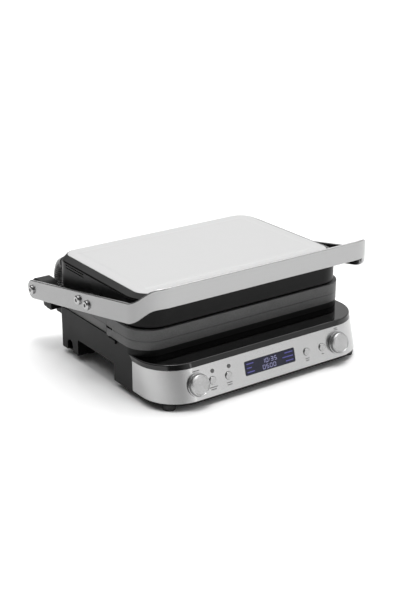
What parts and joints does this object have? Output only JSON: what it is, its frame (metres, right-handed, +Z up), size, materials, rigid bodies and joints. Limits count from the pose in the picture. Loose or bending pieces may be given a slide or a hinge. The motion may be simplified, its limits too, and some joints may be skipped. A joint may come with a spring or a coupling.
{
  "type": "panini press",
  "caption": "Tabletop contact grill: slanted control panel, two ribbed plates, and a lid carried between the arms of a bent steel handle that opens flat.",
  "frame": {"origin": "centre of the part's footprint at the table top, under the feet", "axes": "+X to the user's right, -Y towards the user, +Z up"},
  "size_m": [0.3732, 0.3163, 0.1607],
  "materials": {
    "matte_black_plastic": "moulded matte black",
    "gloss_black_plastic": "gloss black",
    "brushed_steel": "brushed stainless steel",
    "silver_metal": "spun satin metal",
    "cover_metal": "satin pale silver coating",
    "grill_coating": "dark grey non-stick coating",
    "rubber_black": "matte",
    "display_glass": "dark blue display window",
    "display_body": "matte",
    "lamp_lens": "dark lens",
    "circuit_board": "green solder mask",
    "bright_aluminium": "bright sheet",
    "heater_steel": "heat-darkened steel",
    "zinc_steel": "bright plated steel",
    "nylon_black": "nylon",
    "conduit_plastic": "corrugated black plastic"
  },
  "bodies": {
    "base": {"base_housing": "matte_black_plastic", "base_pan": "matte_black_plastic", "base_screws": "zinc_steel", "conduit_socket": "matte_black_plastic", "control_board": "circuit_board", "cord_gland": "matte_black_plastic", "deck_trim": "gloss_black_plastic", "display_module": "display_body", "display_window": "display_glass", "encoders": "display_body", "front_feet": "rubber_black", "front_panel": "brushed_steel", "hinge_bracket_left": "matte_black_plastic", "hinge_bracket_right": "matte_black_plastic", "hinge_bushes": "nylon_black", "lamp_lenses": "lamp_lens", "lower_heater": "heater_steel", "lower_heater_clips": "bright_aluminium", "lower_heater_tray": "bright_aluminium", "lower_plate": "grill_coating", "lower_sensor": "heater_steel", "power_board": "circuit_board", "rear_feet": "rubber_black", "tact_switches": "display_body", "wire_conduit": "conduit_plastic"},
    "handle": {"handle_strip": "brushed_steel", "hinge_screws": "zinc_steel", "hinge_washers": "nylon_black", "hinge_nuts": "zinc_steel", "lid_pivot_screws": "zinc_steel", "lid_pivot_bushes": "nylon_black", "lid_pivot_nuts": "zinc_steel", "lid_guide_screws": "zinc_steel", "lid_guide_bushes": "nylon_black", "lid_guide_nuts": "zinc_steel"},
    "lid": {"lid_shell": "gloss_black_plastic", "lid_cover": "cover_metal", "lid_liner": "matte_black_plastic", "lid_screws": "zinc_steel", "lid_bracket_left": "zinc_steel", "lid_bracket_right": "zinc_steel", "upper_heater_tray": "bright_aluminium", "upper_heater": "heater_steel", "upper_heater_clips": "bright_aluminium", "upper_sensor": "heater_steel", "upper_plate": "grill_coating", "conduit_collar": "matte_black_plastic"},
    "left_knob": {"left_knob": "silver_metal", "left_knob_shaft": "zinc_steel"},
    "right_knob": {"right_knob": "silver_metal", "right_knob_shaft": "zinc_steel"},
    "upper_plate_button": {"upper_plate_button": "silver_metal"},
    "lower_plate_button": {"lower_plate_button": "silver_metal"},
    "program_button": {"program_button": "silver_metal"},
    "start_button": {"start_button": "silver_metal"},
    "lower_release_button": {"lower_release_button": "matte_black_plastic"},
    "upper_release_button": {"upper_release_button": "matte_black_plastic"}
  },
  "joints": [
    {"name": "main_hinge", "type": "hinge", "parent": "base", "child": "handle", "pos_m": [0, 0.146, 0.0785], "axis": [-1, 0, 0], "range_deg": [0, 178], "deforming": ["wire_conduit"]},
    {"name": "lid_float", "type": "hinge", "parent": "handle", "child": "lid", "pos_m": [0, 0.018, 0.1044], "axis": [-1, 0, 0], "range_deg": [0, 2]},
    {"name": "left_knob_turn", "type": "hinge", "parent": "base", "child": "left_knob", "pos_m": [-0.1125, -0.1447, 0.0295], "axis": [0, -0.9645, 0.2639], "continuous": true},
    {"name": "right_knob_turn", "type": "hinge", "parent": "base", "child": "right_knob", "pos_m": [0.1125, -0.1447, 0.0295], "axis": [0, -0.9645, 0.2639], "continuous": true},
    {"name": "upper_plate_button_press", "type": "slide", "parent": "base", "child": "upper_plate_button", "axis": [0, 0.9645, -0.2639], "range_m": [0, 0.0012], "stiffness_N_per_m": 600},
    {"name": "lower_plate_button_press", "type": "slide", "parent": "base", "child": "lower_plate_button", "axis": [0, 0.9645, -0.2639], "range_m": [0, 0.0012], "stiffness_N_per_m": 600},
    {"name": "program_button_press", "type": "slide", "parent": "base", "child": "program_button", "axis": [0, 0.9645, -0.2639], "range_m": [0, 0.0012], "stiffness_N_per_m": 600},
    {"name": "start_button_press", "type": "slide", "parent": "base", "child": "start_button", "axis": [0, 0.9645, -0.2639], "range_m": [0, 0.0012], "stiffness_N_per_m": 600},
    {"name": "lower_release_press", "type": "slide", "parent": "base", "child": "lower_release_button", "axis": [1, 0, 0], "range_m": [0, 0.0025], "stiffness_N_per_m": 500},
    {"name": "upper_release_press", "type": "slide", "parent": "lid", "child": "upper_release_button", "axis": [1, 0, 0], "range_m": [0, 0.0025], "stiffness_N_per_m": 500}
  ],
  "couplings": [
    {"joint": "lid_float", "follows": "main_hinge", "ratio": 0.011236}
  ]
}
